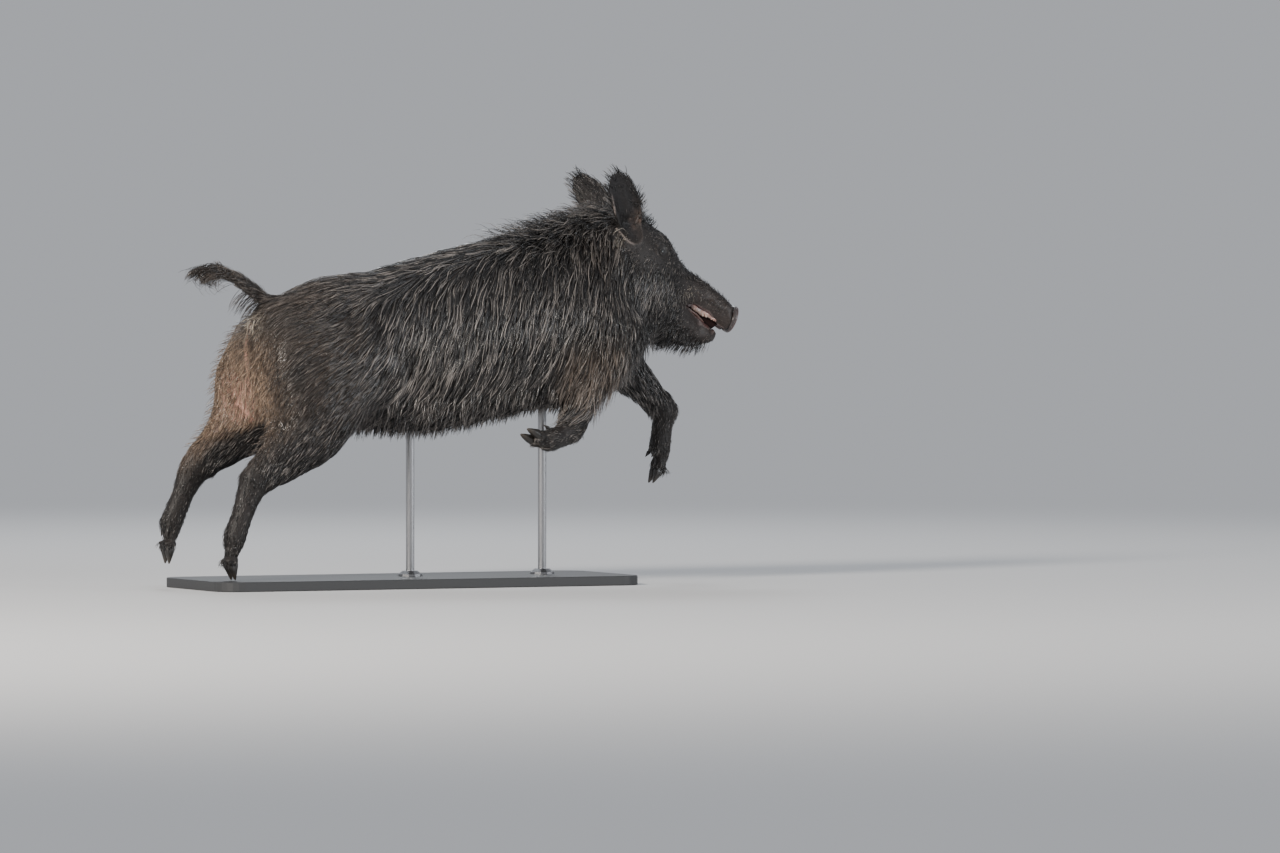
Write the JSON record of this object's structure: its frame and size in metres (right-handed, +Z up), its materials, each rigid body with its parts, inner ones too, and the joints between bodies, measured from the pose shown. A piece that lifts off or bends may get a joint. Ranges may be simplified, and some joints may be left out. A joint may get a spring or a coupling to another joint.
{
  "type": "wild boar life-size display model",
  "caption": "Life-size wild boar leaping off its hind feet, forelegs lifted and tail raised, held by two rods on a flat display base.",
  "frame": {"origin": "middle of the footprint, on the floor under the display base", "axes": "+X towards the snout, +Y to the animal's left, +Z up"},
  "size_m": [1.5842, 0.44, 1.0739],
  "materials": {
    "coat": "wet bristly hair over skin, near-black brown with tan tips",
    "rhinarium": "bare moist skin",
    "eye": "wet, glossy",
    "gum": "wet pink skin",
    "tooth": "enamel",
    "horn": "worn horn",
    "plinth": "matt grey paint",
    "steel": "brushed"
  },
  "bodies": {
    "root": {"trunk": "coat", "neck": "coat", "head": "coat", "lower_jaw": "coat", "snout_disc": "rhinarium", "ear_left": "coat", "ear_right": "coat", "eye_left": "eye", "eye_right": "eye", "upper_gum": "gum", "tongue": "gum", "lower_teeth": "tooth", "tail": "coat", "leg_front_left": "coat", "leg_front_right": "coat", "leg_hind_left": "coat", "leg_hind_right": "coat", "foot_front_left": "coat", "foot_front_right": "coat", "foot_hind_left": "coat", "foot_hind_right": "coat", "hoof_front_left_outer": "horn", "dewclaw_front_left_outer": "horn", "hoof_front_left_inner": "horn", "dewclaw_front_left_inner": "horn", "hoof_front_right_outer": "horn", "dewclaw_front_right_outer": "horn", "hoof_front_right_inner": "horn", "dewclaw_front_right_inner": "horn", "hoof_hind_left_outer": "horn", "dewclaw_hind_left_outer": "horn", "hoof_hind_left_inner": "horn", "dewclaw_hind_left_inner": "horn", "hoof_hind_right_outer": "horn", "dewclaw_hind_right_outer": "horn", "hoof_hind_right_inner": "horn", "dewclaw_hind_right_inner": "horn", "stand_base": "plinth", "stand_rod_front": "steel", "stand_rod_rear": "steel", "stand_collar_front": "steel", "stand_collar_rear": "steel"}
  },
  "joints": []
}
